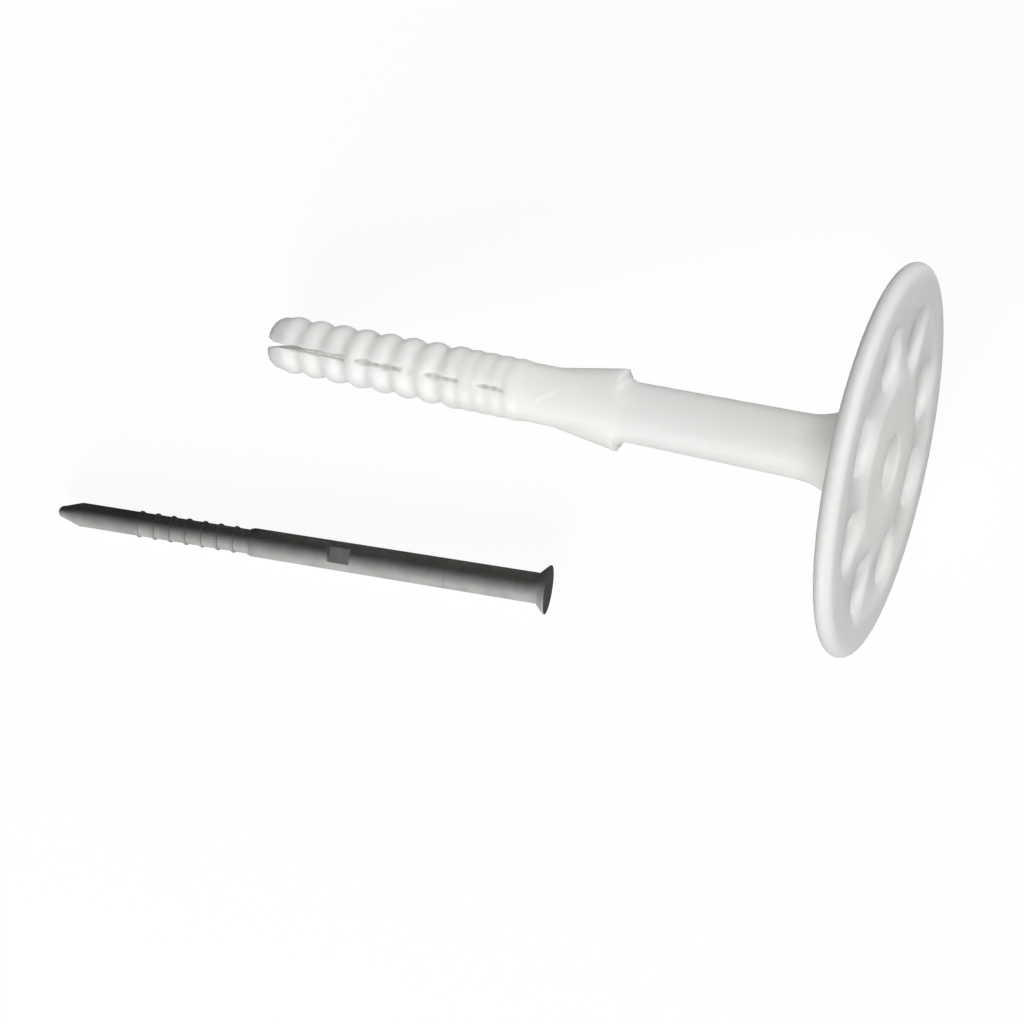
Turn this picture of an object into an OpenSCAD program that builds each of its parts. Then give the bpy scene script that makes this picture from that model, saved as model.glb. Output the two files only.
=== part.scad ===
// Hammer fixing plug for insulation boards, lying on a table beside the
// expansion pin that is hammered into it. Millimetres, +Z up, table at z = 0.

/* [Plug] */
// Length of the plug from its nose to the outer face of the disc
plug_length = 108; // [100:1:200]
// Diameter of the shank where it leaves the wings
shank_d_wing = 9.75; // [9.2:0.05:10.2]
// Diameter of the shank where it meets the disc
shank_d_disc = 10.25; // [9.8:0.05:11]
// Diameter of the smooth neck between the ridges and the wings
neck_d = 9.65; // [9.2:0.05:9.75]
// Station of the wide ends of the wings, from the nose
wing_end = 65.3; // [62:0.1:70]
// Length of the flared wings
wing_length = 12.3; // [9:0.1:13]
// Distance across the two wings
wing_d = 13.5; // [12:0.1:15]
// Height of a wing across its flat sides
wing_h = 7.6; // [5:0.1:8.6]
// Turn of the lying plug about its own axis
plug_roll = 9.5; // [0:0.5:20]

/* [Expansion zone] */
// Diameter over the first ridge
ridge_d_first = 9.85; // [9.2:0.05:10]
// Diameter over the last of the large ridges
ridge_d_last = 10.4; // [10:0.05:10.8]
// Height of a large ridge over the core
ridge_h = 0.66; // [0.3:0.02:0.9]
// Width of a large ridge at its foot
ridge_w = 3.6; // [3:0.1:3.9]
// Number of large ridges
ridge_count = 8; // [5:1:8]
// Spacing of the large ridges
ridge_pitch = 4.48; // [4:0.02:4.5]
// Station of the first ridge, from the nose
ridge_start = 3.9; // [3.4:0.1:4.4]
// Number of small ridges
small_count = 4; // [2:1:5]
// Spacing of the small ridges
small_pitch = 2.8; // [2.2:0.1:2.9]
// Diameter over the small ridges
small_d = 10.2; // [9.9:0.02:10.4]
// Diameter of the blunt end of the nose
nose_d = 5.4; // [4:0.1:6.4]
// Length of the rounded nose
nose_length = 1.8; // [1.4:0.1:2]
// Width of the expansion slots
slot_w = 1; // [0.6:0.1:1.6]

/* [Disc] */
// Diameter of the disc
disc_d = 60; // [52:1:80]
// Thickness of the disc at its round rim
disc_t = 2.8; // [2.4:0.1:4]
// Radius of the fillet between shank and disc
trumpet_r = 11; // [6:0.5:13]
// Number of mortar holes
hole_count = 8; // [4:1:8]
// Diameter of the mortar holes
hole_d = 8; // [5:0.1:8.6]
// Diameter of the circle that the mortar holes lie on
hole_circle_d = 37.5; // [35:0.5:39]
// Turn of the hole pattern about the axis
hole_turn = 32; // [0:1:44]
// Bevel round the outer edge of each mortar hole
hole_bevel = 0.8; // [0.2:0.05:0.9]
// Width of the ring-shaped trough in the outer face
trough_w = 11.5; // [9:0.1:12]
// Depth of the trough
trough_depth = 0.9; // [0.4:0.05:1.2]

/* [Bore] */
// Clearance all round between the pin's shaft and the bore
bore_clearance = 0.2; // [0.1:0.05:0.4]
// Station where the wide bore ends, from the nose
bore_end = 50; // [47:0.5:52]
// Diameter of the guide bore inside the expansion zone
guide_d = 3.2; // [2:0.1:3.8]
// Station where the guide bore ends, from the nose
guide_end = 6; // [4:0.5:8]

/* [Expansion pin] */
// Length of the pin
pin_length = 89.2; // [80:0.2:96]
// Diameter of the shaft under the head
pin_d_head = 5.3; // [5.1:0.02:5.5]
// Diameter of the shaft behind the rings
pin_d_mid = 5; // [4.86:0.02:5.1]
// Diameter of the front of the pin
pin_d_front = 4.25; // [4:0.02:4.5]
// Station where the thicker shaft begins, from the point
pin_step = 36.5; // [36.3:0.1:42]
// Diameter of the round end of the point
point_d = 2.2; // [1.4:0.1:2.8]
// Length of the point
point_length = 4.3; // [3.4:0.1:5.4]
// Number of rings
ring_count = 8; // [4:1:8]
// Spacing of the rings
ring_pitch = 2.94; // [2.4:0.02:2.94]
// Station of the first ring, from the point
ring_start = 15.6; // [14:0.1:15.7]
// Diameter over the rings
ring_d = 4.76; // [4.6:0.02:4.86]
// Round of a ring's crest
ring_round = 0.36; // [0.28:0.02:0.44]
// Diameter of the countersunk head
head_d = 8.4; // [7.2:0.1:9]
// Height of the head's cone
head_cone = 1.5; // [1.2:0.1:2.4]
// Height of the head's straight edge
head_edge = 0.25; // [0.2:0.05:0.5]
// Station of the flat on the shaft, from the point
flat_start = 50.9; // [44:0.1:70]
// Length of the flat
flat_length = 3.8; // [2:0.1:6]
// Width of the flat
flat_w = 2.7; // [1.8:0.1:3.2]
// Turn of the lying pin about its own axis
pin_roll = -6; // [-20:1:20]

/* [Layout] */
// Place of the pin's point beside the plug's nose, along the plug
pin_x = -34; // [-45:0.1:0]
// Place of the pin's point beside the plug's nose, across the plug
pin_y = -37.2; // [-60:0.1:-32]
// Angle of the pin to the plug, seen from above
pin_yaw = 3.5; // [-5:0.1:6]

/* [Hidden] */
$fn = 96;

plug_white = "ivory";
pin_grey = "gray";
cut = 0.5;

// Plug profile
rim_round = disc_t / 2;
disc_r = disc_d / 2;
disc_back = plug_length - disc_t;
trumpet_start = disc_back - trumpet_r;
wing_start = wing_end - wing_length;
neck_r = neck_d / 2;
shank_r_wing = shank_d_wing / 2;
shank_r_disc = shank_d_disc / 2;
ridge_stop = ridge_start + (ridge_count - 1) * ridge_pitch;
small_stop = ridge_stop + small_count * small_pitch;

function ridge_station(i) = ridge_start + i * ridge_pitch;
function ridge_crest(i) = (ridge_d_first + (ridge_d_last - ridge_d_first) * i / (ridge_count - 1)) / 2;
// Radius of an arc that rises by h over a base of width w
function arc_radius(w, h) = (w * w / 4 + h * h) / (2 * h);
ridge_round = arc_radius(ridge_w, ridge_h);
small_h = small_d / 2 - neck_r;
small_round = arc_radius(small_pitch, small_h);
trough_round = arc_radius(trough_w, trough_depth);

// Each run of the expansion slot, first and last station from the nose
slot_runs = [[-cut, 15.8], [17.6, 27], [30.6, 37.4], [40.2, 45.8]];

// Bore and head seat
bore_r = pin_d_head / 2 + bore_clearance;
guide_r = guide_d / 2;
seat_r = head_d / 2 + bore_clearance;
seat_depth = head_cone + head_edge;
bore_taper = bore_r - guide_r;

// Pin profile
front_r = pin_d_front / 2;
point_r = point_d / 2;
mid_r = pin_d_mid / 2;
shaft_r = pin_d_head / 2;
head_r = head_d / 2;
head_start = pin_length - head_edge - head_cone;
ring_r = ring_d / 2;
function shaft_radius(s) = mid_r + (shaft_r - mid_r) * (s - pin_step) / (head_start - pin_step);
flat_middle_r = shaft_radius(flat_start + flat_length / 2);
flat_height = sqrt(flat_middle_r * flat_middle_r - flat_w * flat_w / 4);

// The plug rests on its first ridge and on the round rim of its disc: the
// table is the common tangent of those two circles.
ridge_centre = [ridge_start, ridge_crest(0) - ridge_round];
rim_centre = [disc_back + rim_round, disc_r - rim_round];
rest_span = rim_centre - ridge_centre;
plug_pitch = atan2(rest_span[1], rest_span[0]) - asin((ridge_round - rim_round) / norm(rest_span));
plug_lift = ridge_centre[1] * cos(plug_pitch) - ridge_centre[0] * sin(plug_pitch) + ridge_round;

// The pin rests on the edge of its head and on the shoulder of its point.
pin_pitch = atan2(head_r - front_r, pin_length - head_edge - point_length);
pin_lift = front_r * cos(pin_pitch) - point_length * sin(pin_pitch);

// Middle of the two lying pieces, which the origin is set under
x_low = pin_x - point_r * (1 - cos(pin_pitch) * cos(pin_yaw));
x_high = rim_centre[0] * cos(plug_pitch) + rim_centre[1] * sin(plug_pitch) + rim_round;
y_low = min(-disc_r, pin_y + point_length * sin(pin_yaw) - front_r * cos(pin_yaw));
y_high = disc_r;
middle = [(x_low + x_high) / 2, (y_low + y_high) / 2, 0];

// Half section of the plug before it is bored: radius along X, station along Y
module plug_section() {
    core_first = ridge_crest(0) - ridge_h;
    core_last = ridge_crest(ridge_count - 1) - ridge_h;
    polygon([
        [0, 0],
        [nose_d / 2, 0],
        [core_first, nose_length],
        [core_first, ridge_start],
        [core_last, ridge_stop],
        [neck_r, ridge_stop + small_pitch / 2],
        [neck_r, wing_start],
        [shank_r_wing, wing_end],
        [shank_r_disc, trumpet_start],
        [shank_r_disc, disc_back],
        [rim_centre[1], disc_back],
        [rim_centre[1], plug_length],
        [0, plug_length],
    ]);
    translate([rim_centre[1], rim_centre[0]]) circle(rim_round);
    trumpet_section();
    intersection() {
        translate([0, ridge_start - ridge_pitch]) square([disc_r, wing_start]);
        union() {
            for (i = [0 : ridge_count - 1]) ridge_section(ridge_station(i), ridge_crest(i), ridge_round);
            for (i = [1 : small_count]) {
                ridge_section(ridge_stop + i * small_pitch, small_d / 2, small_round);
            }
        }
    }
}

// One rounded ridge of the half section
module ridge_section(station, crest, round_r) {
    intersection() {
        translate([crest - round_r, station]) circle(round_r);
        translate([0, station - round_r]) square([crest + cut, 2 * round_r]);
    }
}

// Fillet that widens the shank into the back of the disc
module trumpet_section() {
    difference() {
        translate([shank_r_disc - cut, trumpet_start]) square(trumpet_r + cut);
        translate([shank_r_disc + trumpet_r, trumpet_start]) circle(trumpet_r);
    }
}

// Ring-shaped trough in the outer face of the disc
module trough() {
    rotate_extrude() intersection() {
        translate([hole_circle_d / 2, plug_length - trough_depth + trough_round]) circle(trough_round);
        translate([0, plug_length - trough_depth - cut]) square([disc_r, trough_depth + 2 * cut]);
    }
}

// Flared wings on two opposite sides, with flat sides and square ends
module wings() {
    intersection() {
        translate([0, 0, wing_start]) cylinder(h = wing_length, r1 = neck_r, r2 = wing_d / 2);
        translate([-wing_h / 2, -wing_d, wing_start]) cube([wing_h, 2 * wing_d, wing_length]);
    }
}

// Head seat, wide bore and narrow guide bore, on one axis
module plug_bore() {
    translate([0, 0, guide_end]) cylinder(h = bore_end - guide_end, r = guide_r);
    translate([0, 0, bore_end - bore_taper]) cylinder(h = bore_taper, r1 = guide_r, r2 = bore_r);
    translate([0, 0, bore_end]) cylinder(h = plug_length - bore_end + cut, r = bore_r);
    translate([0, 0, plug_length - seat_depth]) cylinder(h = head_cone, r1 = bore_r, r2 = seat_r);
    translate([0, 0, plug_length - head_edge]) cylinder(h = head_edge + cut, r = seat_r);
}

// Slots that let the two halves of the expansion zone spread
module expansion_slots() {
    for (run = slot_runs) {
        translate([-disc_r / 2, -slot_w / 2, run[0]]) cube([disc_r, slot_w, run[1] - run[0]]);
    }
}

// Mortar holes through the disc, bevelled where they break the trough
module mortar_holes() {
    bevel_floor = plug_length - trough_depth - hole_bevel;
    for (i = [0 : hole_count - 1]) {
        rotate(hole_turn + i * 360 / hole_count) translate([hole_circle_d / 2, 0, 0]) {
            translate([0, 0, trumpet_start]) cylinder(h = plug_length - trumpet_start, d = hole_d);
            translate([0, 0, bevel_floor]) cylinder(
                h = 2 * hole_bevel + trough_depth,
                d1 = hole_d,
                d2 = hole_d + 2 * (2 * hole_bevel + trough_depth)
            );
        }
    }
}

module lay_plug() {
    translate([0, 0, plug_lift] - middle) rotate([0, 90 - plug_pitch, 0]) rotate(plug_roll) children();
}

module plug_body() {
    color(plug_white) lay_plug() difference() {
        union() {
            rotate_extrude() plug_section();
            wings();
        }
        trough();
        plug_bore();
        expansion_slots();
        mortar_holes();
    }
}

// Half section of the pin: radius along X, station along Y
module pin_section() {
    intersection() {
        translate([0, point_r]) circle(point_r);
        square(2 * point_r);
    }
    polygon([
        [0, point_r],
        [point_r, point_r],
        [front_r, point_length],
        [front_r, pin_step],
        [mid_r, pin_step],
        [shaft_r, head_start],
        [head_r, head_start + head_cone],
        [head_r, pin_length],
        [0, pin_length],
    ]);
    for (i = [0 : ring_count - 1]) {
        translate([ring_r - ring_round, ring_start + i * ring_pitch]) circle(ring_round);
    }
}

// Shallow flat on one side of the shaft
module shaft_flat() {
    translate([-2 * shaft_r, -shaft_r, flat_start]) {
        cube([2 * shaft_r - flat_height, 2 * shaft_r, flat_length]);
    }
}

module lay_pin() {
    translate([pin_x, pin_y, pin_lift] - middle)
        rotate(pin_yaw) rotate([0, 90 - pin_pitch, 0]) rotate(pin_roll) children();
}

module expansion_pin() {
    color(pin_grey) lay_pin() difference() {
        rotate_extrude() pin_section();
        shaft_flat();
    }
}

plug_body();
expansion_pin();
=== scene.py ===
import math

import bmesh
import bpy
import numpy as np
from mathutils import Matrix, Vector


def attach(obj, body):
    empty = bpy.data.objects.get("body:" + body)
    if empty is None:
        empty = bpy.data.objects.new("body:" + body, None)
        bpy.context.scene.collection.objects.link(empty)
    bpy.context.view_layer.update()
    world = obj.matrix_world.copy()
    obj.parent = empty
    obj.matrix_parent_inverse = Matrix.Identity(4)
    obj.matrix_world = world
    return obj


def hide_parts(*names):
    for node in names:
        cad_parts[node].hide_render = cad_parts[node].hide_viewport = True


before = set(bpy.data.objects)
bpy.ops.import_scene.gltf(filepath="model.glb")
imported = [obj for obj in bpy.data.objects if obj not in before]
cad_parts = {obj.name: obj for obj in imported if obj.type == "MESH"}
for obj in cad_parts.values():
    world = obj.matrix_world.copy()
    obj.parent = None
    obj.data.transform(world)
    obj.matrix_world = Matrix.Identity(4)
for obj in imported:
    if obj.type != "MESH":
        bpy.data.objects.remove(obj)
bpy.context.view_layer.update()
scene = bpy.context.scene
scene.view_settings.view_transform = "Standard"
print("stage: frame loaded", sorted(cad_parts))


# Material helpers
def newMaterial(name):
    material = bpy.data.materials.new(name)
    material.use_nodes = True
    tree = material.node_tree
    tree.nodes.clear()
    return material, tree


def addNode(tree, kind, values=None, **fields):
    node = tree.nodes.new(kind)
    for field, value in fields.items():
        setattr(node, field, value)
    for socket, value in (values or {}).items():
        node.inputs[socket].default_value = value
    return node


def colourRamp(tree, source, stops):
    ramp = addNode(tree, "ShaderNodeValToRGB")
    for element, (place, colour) in zip(ramp.color_ramp.elements, stops):
        element.position = place
        element.color = (*colour, 1.0)
    tree.links.new(source, ramp.inputs["Fac"])
    return ramp.outputs["Color"]


def noiseAt(tree, coordinates, scale, detail=3.0, rough=0.55):
    noise = addNode(tree, "ShaderNodeTexNoise", {"Scale": scale, "Detail": detail, "Roughness": rough})
    tree.links.new(coordinates, noise.inputs["Vector"])
    return noise.outputs["Fac"]


def bumpFrom(tree, heights, distance, strength, before=None):
    bump = addNode(tree, "ShaderNodeBump", {"Strength": strength, "Distance": distance})
    tree.links.new(heights, bump.inputs["Height"])
    if before is not None:
        tree.links.new(before, bump.inputs["Normal"])
    return bump.outputs["Normal"]


# Colour sockets of a Mix node: 0 takes the share, 6 and 7 the two colours, 2 gives the result
def tintBy(tree, share, colour, tint):
    blend = addNode(tree, "ShaderNodeMix", {7: (*tint, 1.0)}, data_type="RGBA")
    tree.links.new(share, blend.inputs[0])
    tree.links.new(colour, blend.inputs[6])
    return blend.outputs[2]


def toOutput(tree, shader):
    output = addNode(tree, "ShaderNodeOutputMaterial")
    tree.links.new(shader, output.inputs["Surface"])


# Milky plug plastic: light spreads a few millimetres inside it
plugLook = {
    "pale": (0.90, 0.894, 0.865),
    "warm": (0.885, 0.872, 0.805),
    # Painted shade: a darker grey for the slot walls, the bore and the wings' end faces
    "slot": (0.58, 0.575, 0.56),
    # Painted highlight: a pale streak where the wings begin to flare
    "paintedHighlight": (0.95, 0.945, 0.92),
    "rough": (0.34, 0.48),
    "depth": 0.008,
    "spread": (1.0, 0.98, 0.92),  # share of the depth for red, green and blue
    "refraction": 1.45,
    "gloss": 0.35,
    "cloudScale": 45.0,
    "cloudStops": (0.35, 0.7),
    "fineScale": 900.0,
    "fineDetail": 2.0,
    "fineStops": (0.3, 0.7),
    "fineHeight": 0.00004,
    "fineStrength": 0.4,
}


def plugMaterial():
    look = plugLook
    material, tree = newMaterial("plugPlastic")
    place = addNode(tree, "ShaderNodeTexCoord").outputs["Object"]
    cloud = noiseAt(tree, place, look["cloudScale"])
    fine = noiseAt(tree, place, look["fineScale"], look["fineDetail"])
    shader = addNode(tree, "ShaderNodeBsdfPrincipled", {
        "Subsurface Weight": 1.0,
        "Subsurface Scale": look["depth"],
        "Subsurface Radius": look["spread"],
        "IOR": look["refraction"],
        "Specular IOR Level": look["gloss"],
    })
    colour = colourRamp(tree, cloud, zip(look["cloudStops"], (look["pale"], look["warm"])))
    # Painted shade in the slots, bore and wing ends, and a painted highlight along the wings' start,
    # both read from point attributes
    for mark in ("slot", "paintedHighlight"):
        share = addNode(tree, "ShaderNodeAttribute", attribute_name=mark).outputs["Fac"]
        colour = tintBy(tree, share, colour, look[mark])
    tree.links.new(colour, shader.inputs["Base Color"])
    greys = [(rough,) * 3 for rough in look["rough"]]
    tree.links.new(colourRamp(tree, fine, zip(look["fineStops"], greys)), shader.inputs["Roughness"])
    bump = bumpFrom(tree, fine, look["fineHeight"], look["fineStrength"])
    tree.links.new(bump, shader.inputs["Normal"])
    toOutput(tree, shader.outputs["BSDF"])
    return material


# Grey pin plastic: matt, slightly mottled, with one faint ring mark on the shaft
pinLook = {
    "dark": (0.31, 0.315, 0.30),
    "light": (0.42, 0.425, 0.41),
    "rough": 0.62,
    "gloss": 0.35,
    "mottleScale": 260.0,
    "mottleDetail": 4.0,
    "mottleRough": 0.6,
    "mottleStops": (0.3, 0.7),
    "mottleHeight": 0.00006,
    "mottleStrength": 0.5,
    "grainScale": 2200.0,
    "grainDetail": 2.0,
    "grainHeight": 0.00003,
    "grainStrength": 0.6,
    "axis": (0.997835, 0.061030, 0.024505),
    "noseAlong": -0.0746556,  # the point's own coordinate along the axis
    "ringMark": 0.0715,  # distance of the ring mark from the point
    "ringHalf": 0.00009,
    "ringShare": 0.35,
    "ringTint": (0.1, 0.1, 0.1),
    "sharpFrom": 20.0,
}


def pinMaterial():
    look = pinLook
    material, tree = newMaterial("pinPlastic")
    place = addNode(tree, "ShaderNodeTexCoord").outputs["Object"]
    mottle = noiseAt(tree, place, look["mottleScale"], look["mottleDetail"], look["mottleRough"])
    grain = noiseAt(tree, place, look["grainScale"], look["grainDetail"])
    shader = addNode(tree, "ShaderNodeBsdfPrincipled", {
        "Roughness": look["rough"],
        "Specular IOR Level": look["gloss"],
    })
    along = addNode(tree, "ShaderNodeVectorMath", {1: look["axis"]}, operation="DOT_PRODUCT")
    tree.links.new(place, along.inputs[0])
    ringPlace = {1: look["noseAlong"] + look["ringMark"], 2: look["ringHalf"]}
    ring = addNode(tree, "ShaderNodeMath", ringPlace, operation="COMPARE")
    tree.links.new(along.outputs["Value"], ring.inputs[0])
    faint = addNode(tree, "ShaderNodeMath", {1: look["ringShare"]}, operation="MULTIPLY")
    tree.links.new(ring.outputs[0], faint.inputs[0])
    colour = colourRamp(tree, mottle, zip(look["mottleStops"], (look["dark"], look["light"])))
    colour = tintBy(tree, faint.outputs[0], colour, look["ringTint"])
    tree.links.new(colour, shader.inputs["Base Color"])
    bump = bumpFrom(tree, grain, look["grainHeight"], look["grainStrength"])
    bump = bumpFrom(tree, mottle, look["mottleHeight"], look["mottleStrength"], bump)
    tree.links.new(bump, shader.inputs["Normal"])
    toOutput(tree, shader.outputs["BSDF"])
    return material


weldGap = 2e-6


# A merged, smooth-shaded copy of one CAD node's mesh
def mergedCopy(nodeName, sharpFrom):
    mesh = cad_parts[nodeName].data.copy()
    work = bmesh.new()
    work.from_mesh(mesh)
    bmesh.ops.remove_doubles(work, verts=work.verts, dist=weldGap)
    work.to_mesh(mesh)
    work.free()
    mesh.shade_smooth()
    mesh.set_sharp_from_angle(angle=math.radians(sharpFrom))
    return mesh


# Hangs a finished mesh in place of its CAD node
def addPiece(mesh, pieceName, nodeName, material):
    mesh.materials.clear()
    mesh.materials.append(material)
    piece = bpy.data.objects.new(pieceName, mesh)
    scene.collection.objects.link(piece)
    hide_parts(nodeName)
    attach(piece, "root")
    print("stage:", pieceName, len(mesh.polygons), "faces")
    return piece


# Moulded plug: every edge softened by an even fine mesh, wings drawn as a lens, nose blunted
plugForm = {
    "nose": (-0.03886915, 0.00452926, 0.00394048),
    "pitch": 13.699419,
    "roll": 9.5,
    "length": 0.108,
    "sharpFrom": 28.0,
    "grain": 0.0004,
    "softenShare": 0.5,
    "softenRounds": 2,
    "relaxRounds": 2,
    "wingStart": 0.0530,
    "wingEnd": 0.0653,
    "wingBack": 0.0006,  # how much sooner the wings end than in the CAD
    "wingReach": 0.00675,
    "wingHeight": 0.0076,
    "wingCore": 0.0040,  # nothing nearer to the axis is moved
    "wingThin": 0.00005,  # an end face lower than this keeps its shape
    "neckRadius": 0.004825,
    "shankRadius": 0.004875,
    "lens": 1.6,
    "endShare": 0.6,  # grains either way that count as the wings' end face
    "noseLength": 0.0018,
    "noseFade": 0.0026,
    "noseRadii": (0.0027, 0.004265),
    "bluntRadii": (0.0031, 0.0045),
    "troughShare": 0.6,
    "troughFloor": (0.0010, 0.0022),  # depths between which the holes begin
    "troughInner": (0.0070, 0.0090),
    "troughOuter": (0.0265, 0.0284),
    "troughLimit": 0.0024,
    "slotHalf": 0.0005,
    "slotEnd": 0.0458,
    "slotPinch": 0.00013,
    "pinchNear": (1.2, 3.0),  # in half widths of the slot
    "pinchStart": (0.0010, 0.0018),
    "pinchEnd": (0.0120, 0.0160),
    # The next five entries place the painted shade: in the slots, in the bore and on the wings' end
    # faces
    "slotBand": 1.3,  # in half widths of the slot
    "slotSkin": (0.0041, 0.0048),
    "boreSkin": (0.0042, 0.0046),
    "borePaintedShade": 0.6,
    "wingEndPaintedShade": 0.5,
    "markEdge": (0.0002, 0.0006),
    # Ends of the painted highlight, a pale streak along the wings' start
    "highlightEnds": ((0.0103, 0.00321, 0.02073), (0.01324, 0.00539, 0.02156)),
}


def softenWith(piece, name, rounds):
    smooth = piece.modifiers.new(name, "SMOOTH")
    smooth.factor = plugForm["softenShare"]
    smooth.iterations = rounds


# Even skin of the solid, made of squares about one grain wide, with its edges softened
def evenMesh(mesh):
    draft = bpy.data.objects.new("plugDraft", mesh)
    scene.collection.objects.link(draft)
    remesh = draft.modifiers.new("even", "REMESH")
    remesh.mode = "VOXEL"
    remesh.voxel_size = plugForm["grain"]
    remesh.use_smooth_shade = True
    softenWith(draft, "soften", plugForm["softenRounds"])
    ready = draft.evaluated_get(bpy.context.evaluated_depsgraph_get())
    even = bpy.data.meshes.new_from_object(ready)
    bpy.data.objects.remove(draft)
    bpy.data.meshes.remove(mesh)
    return even


# Fade s^2 (3 - 2 s), where s runs from 0 at low to 1 at high
def ease(low, high, value):
    share = np.clip((value - low) / (high - low), 0.0, 1.0)
    return share * share * (3.0 - 2.0 * share)


# The plug's own directions: in the slots' plane, out towards the wings, and from nose to disc
def plugAxes():
    pitch = math.radians(plugForm["pitch"])
    roll = math.radians(plugForm["roll"])
    down = np.array((math.sin(pitch), 0.0, -math.cos(pitch)))
    side = np.array((0.0, 1.0, 0.0))
    axis = np.array((math.cos(pitch), 0.0, math.sin(pitch)))
    across = math.cos(roll) * down + math.sin(roll) * side
    along = math.cos(roll) * side - math.sin(roll) * down
    return np.stack((across, along, axis))


# Lens section of the wings: (|x| / shank)^k + (|y| / reach)^k = 1, reach growing along the axis
def drawWings(x, y, station):
    form = plugForm
    radius = np.hypot(x, y)
    cosine = np.abs(x) / radius
    sine = np.abs(y) / radius
    share = np.clip((station - form["wingStart"]) / (form["wingEnd"] - form["wingStart"]), 0.0, 1.0)
    shank = form["neckRadius"] + (form["shankRadius"] - form["neckRadius"]) * share
    reach = form["neckRadius"] + (form["wingReach"] - form["neckRadius"]) * share
    k = form["lens"]
    lens = ((cosine / shank) ** k + (sine / reach) ** k) ** (-1.0 / k)
    target = np.maximum(shank, lens)
    flatSide = form["wingHeight"] / 2
    before = np.maximum(shank, flatSide / np.maximum(cosine, flatSide / reach))
    band = form["grain"] * form["endShare"]
    inWing = (station > form["wingStart"]) & (station < form["wingEnd"] + band)
    inWing = inWing & (radius > form["wingCore"])
    onEnd = inWing & (station > form["wingEnd"] - band)
    onSide = inWing & ~onEnd
    onRim = onEnd & (radius > shank) & (before - shank > form["wingThin"])
    squeeze = (target - shank) / np.maximum(before - shank, form["wingThin"])
    scaled = shank + (radius - shank) * squeeze
    fresh = np.where(onSide, target, np.where(onRim, scaled, radius))
    return fresh / radius, station - np.where(inWing, form["wingBack"] * share, 0.0)


# Blunt nose: radius = tip + (foot - tip) sqrt(1 - (1 - s)^2), s = station / length, for a cone
def bluntNose(station):
    form = plugForm
    share = np.clip(station / form["noseLength"], 0.0, 1.0)
    coneTip, coneFoot = form["noseRadii"]
    bluntTip, bluntFoot = form["bluntRadii"]
    before = coneTip + (coneFoot - coneTip) * share
    after = bluntTip + (bluntFoot - bluntTip) * np.sqrt(1.0 - (1.0 - share) ** 2)
    fade = 1.0 - ease(form["noseLength"], form["noseFade"], station)
    return 1.0 + (after / before - 1.0) * fade


# Shallower trough: new depth = share x depth below the outer face,
# fading out at the rim, at the middle and inside the holes
def easeTrough(radius, station):
    form = plugForm
    depth = form["length"] - station
    share = form["troughShare"] + (1.0 - form["troughShare"]) * ease(*form["troughFloor"], depth)
    weight = ease(*form["troughInner"], radius) * (1.0 - ease(*form["troughOuter"], radius))
    weight = weight * (depth < form["troughLimit"])
    return station + depth * (1.0 - share) * weight


# First run of the slot: both walls move in by the pinch, fading out at both ends of the run
def pinchSlots(y, station):
    form = plugForm
    inner, outer = form["pinchNear"]
    near = 1.0 - ease(form["slotHalf"] * inner, form["slotHalf"] * outer, np.abs(y))
    firstRun = ease(*form["pinchStart"], station) * (1.0 - ease(*form["pinchEnd"], station))
    return y - np.sign(y) * form["slotPinch"] * near * firstRun


# Point attributes that the plastic reads: painted shade on the slot walls, in the bore and on the
# wings' end faces, and one painted highlight, a pale streak where the wings begin
def markPlug(mesh, x, y, station, points):
    form = plugForm
    radius = np.hypot(x, y)
    # Painted shade in the slots, then in the bore, then on the wings' end faces
    inSlot = (np.abs(y) < form["slotHalf"] * form["slotBand"]) & (station < form["slotEnd"])
    slot = (1.0 - ease(*form["slotSkin"], radius)) * inSlot
    inBore = station > form["wingEnd"]
    slot = slot + form["borePaintedShade"] * (1.0 - ease(*form["boreSkin"], radius)) * inBore
    fromEnd = np.abs(station - form["wingEnd"] + form["wingBack"])
    onEnd = fromEnd < form["grain"] * form["endShare"]
    slot = slot + form["wingEndPaintedShade"] * onEnd * ease(*form["markEdge"], radius - form["shankRadius"])
    # Painted highlight: pale along the line between these two points, fading out to each side
    start, end = np.array(form["highlightEnds"])
    line = end - start
    along = np.clip(((points - start) @ line) / np.sum(line ** 2), 0.0, 1.0)
    away = np.linalg.norm(points - start - along[:, None] * line, axis=1)
    paintedHighlight = 1.0 - ease(*form["markEdge"], away)
    for name, values in (("slot", slot), ("paintedHighlight", paintedHighlight)):
        layer = mesh.attributes.new(name, "FLOAT", "POINT")
        layer.data.foreach_set("value", values.astype(np.float32))


def formPlug(mesh):
    axes = plugAxes()
    nose = np.array(plugForm["nose"])
    points = np.empty(len(mesh.vertices) * 3, dtype=np.float32)
    mesh.vertices.foreach_get("co", points)
    x, y, station = ((points.reshape(-1, 3).astype(np.float64) - nose) @ axes.T).T
    grow, station = drawWings(x, y, station)
    grow = grow * bluntNose(station)
    x = x * grow
    y = pinchSlots(y * grow, station)
    station = easeTrough(np.hypot(x, y), station)
    moved = nose + np.stack((x, y, station), axis=1) @ axes
    mesh.vertices.foreach_set("co", moved.astype(np.float32).ravel())
    markPlug(mesh, x, y, station, moved)
    mesh.update()


plugMesh = evenMesh(mergedCopy("plug_body", plugForm["sharpFrom"]))
formPlug(plugMesh)
plug = addPiece(plugMesh, "plugShell", "plug_body", plugMaterial())
softenWith(plug, "relax", plugForm["relaxRounds"])

pinMesh = mergedCopy("expansion_pin", pinLook["sharpFrom"])
pin = addPiece(pinMesh, "pinShell", "expansion_pin", pinMaterial())


# Floor: white to the camera with a pale shadow, dim to every other ray
floorLook = {"size": 6.0, "white": 1.08, "shadowShare": 0.12, "lit": 0.9, "bounce": 0.3}


def grey(level):
    return (level, level, level, 1.0)


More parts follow.
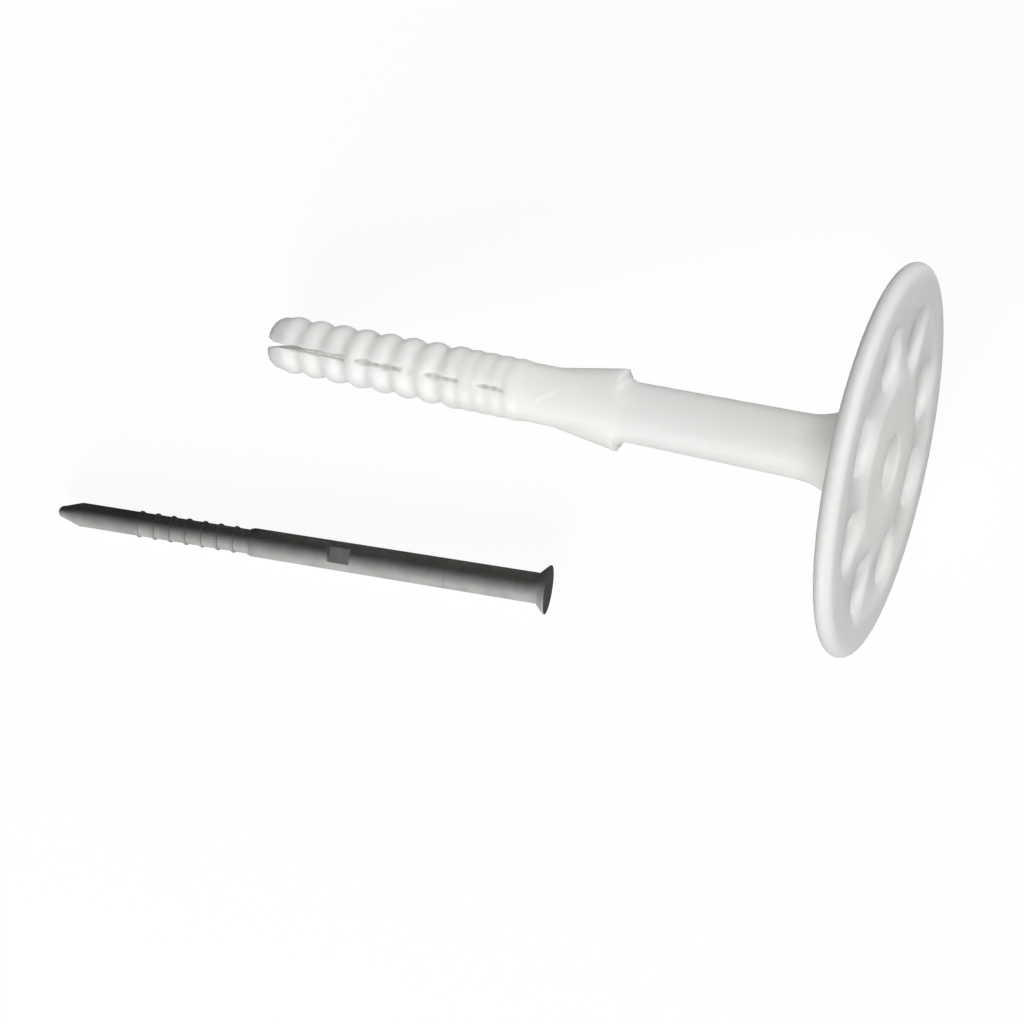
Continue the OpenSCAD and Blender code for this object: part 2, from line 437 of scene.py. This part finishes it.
def makeFloor():
    look = floorLook
    material, tree = newMaterial("paleFloor")
    path = addNode(tree, "ShaderNodeLightPath")
    seen = addNode(tree, "ShaderNodeMath", operation="MAXIMUM")
    tree.links.new(path.outputs["Is Camera Ray"], seen.inputs[0])
    tree.links.new(path.outputs["Is Transmission Ray"], seen.inputs[1])
    glow = addNode(tree, "ShaderNodeEmission", {"Color": grey(1.0), "Strength": look["white"]})
    lit = addNode(tree, "ShaderNodeBsdfDiffuse", {"Color": grey(look["lit"])})
    bounce = addNode(tree, "ShaderNodeBsdfDiffuse", {"Color": grey(look["bounce"])})
    white = addNode(tree, "ShaderNodeMixShader", {"Fac": look["shadowShare"]})
    tree.links.new(glow.outputs[0], white.inputs[1])
    tree.links.new(lit.outputs[0], white.inputs[2])
    both = addNode(tree, "ShaderNodeMixShader")
    tree.links.new(seen.outputs[0], both.inputs[0])
    tree.links.new(bounce.outputs[0], both.inputs[1])
    tree.links.new(white.outputs[0], both.inputs[2])
    toOutput(tree, both.outputs[0])
    half = look["size"] / 2
    corners = [(-half, -half, 0), (half, -half, 0), (half, half, 0), (-half, half, 0)]
    mesh = bpy.data.meshes.new("floor")
    mesh.from_pydata(corners, [], [(0, 1, 2, 3)])
    mesh.materials.append(material)
    floor = bpy.data.objects.new("floor", mesh)
    scene.collection.objects.link(floor)
    return floor


floor = makeFloor()

# Lamps: low soft keys on the near side, and a wide fill that only the translucent plug takes
lampAim = (0.01, 0.0, 0.015)
fillPlace = (0.60, 0.50, 0.9)
lampLook = {
    "pinKey": {"place": (-0.05, -0.90, 0.28), "size": 0.5, "power": 10.5, "takers": [pin, floor]},
    "plugKey": {"place": (-0.05, -0.88, 0.32), "size": 0.6, "power": 7.2, "takers": [plug]},
    "panel": {"place": fillPlace, "size": 1.4, "power": 6.0, "takers": [plug]},
    "glow": {"place": fillPlace, "size": 1.4, "power": 21.0, "takers": [plug], "shadow": False},
}


def makeLamp(name, look):
    lamp = bpy.data.lights.new(name, "AREA")
    lamp.size = look["size"]
    lamp.energy = look["power"]
    lamp.use_shadow = look.get("shadow", True)
    holder = bpy.data.objects.new(name, lamp)
    holder.location = look["place"]
    aim = Vector(lampAim) - Vector(look["place"])
    holder.rotation_euler = aim.to_track_quat("-Z", "Y").to_euler()
    scene.collection.objects.link(holder)
    takers = bpy.data.collections.new(name + "Takers")
    for taker in look["takers"]:
        takers.objects.link(taker)
    holder.light_linking.receiver_collection = takers


for lampName, look in lampLook.items():
    makeLamp(lampName, look)

# Room: white to the camera, nearly dark to every other ray
roomLook = {"dim": 0.045, "white": 1.0}


def makeRoom():
    room = bpy.data.worlds.new("studio")
    scene.world = room
    room.use_nodes = True
    tree = room.node_tree
    tree.nodes.clear()
    path = addNode(tree, "ShaderNodeLightPath")
    dim = addNode(tree, "ShaderNodeBackground", {"Color": grey(1.0), "Strength": roomLook["dim"]})
    white = addNode(tree, "ShaderNodeBackground", {"Color": grey(1.0), "Strength": roomLook["white"]})
    both = addNode(tree, "ShaderNodeMixShader")
    output = addNode(tree, "ShaderNodeOutputWorld")
    tree.links.new(path.outputs["Is Camera Ray"], both.inputs[0])
    tree.links.new(dim.outputs[0], both.inputs[1])
    tree.links.new(white.outputs[0], both.inputs[2])
    tree.links.new(both.outputs[0], output.inputs["Surface"])


makeRoom()
print("stage: light and floor")

# Camera almost straight above, as measured on the photograph
cameraLook = {
    "place": (0.05498, -0.00174, 0.29919),
    "right": (0.96484, 0.20426, -0.16544),
    "up": (-0.20914, 0.97781, -0.01245),
    "lens": 62.22,
    "sensor": 36.0,
    "nearest": 0.01,
    "farthest": 50.0,
}
right = Vector(cameraLook["right"]).normalized()
back = right.cross(Vector(cameraLook["up"])).normalized()
up = back.cross(right)
cameraData = bpy.data.cameras.new("camera")
cameraData.lens = cameraLook["lens"]
cameraData.sensor_width = cameraLook["sensor"]
cameraData.clip_start = cameraLook["nearest"]
cameraData.clip_end = cameraLook["farthest"]
camera = bpy.data.objects.new("camera", cameraData)
turn = Matrix((right, up, back)).transposed().to_4x4()
camera.matrix_world = Matrix.Translation(cameraLook["place"]) @ turn
scene.collection.objects.link(camera)
scene.camera = camera

print("stage: camera and sizes")
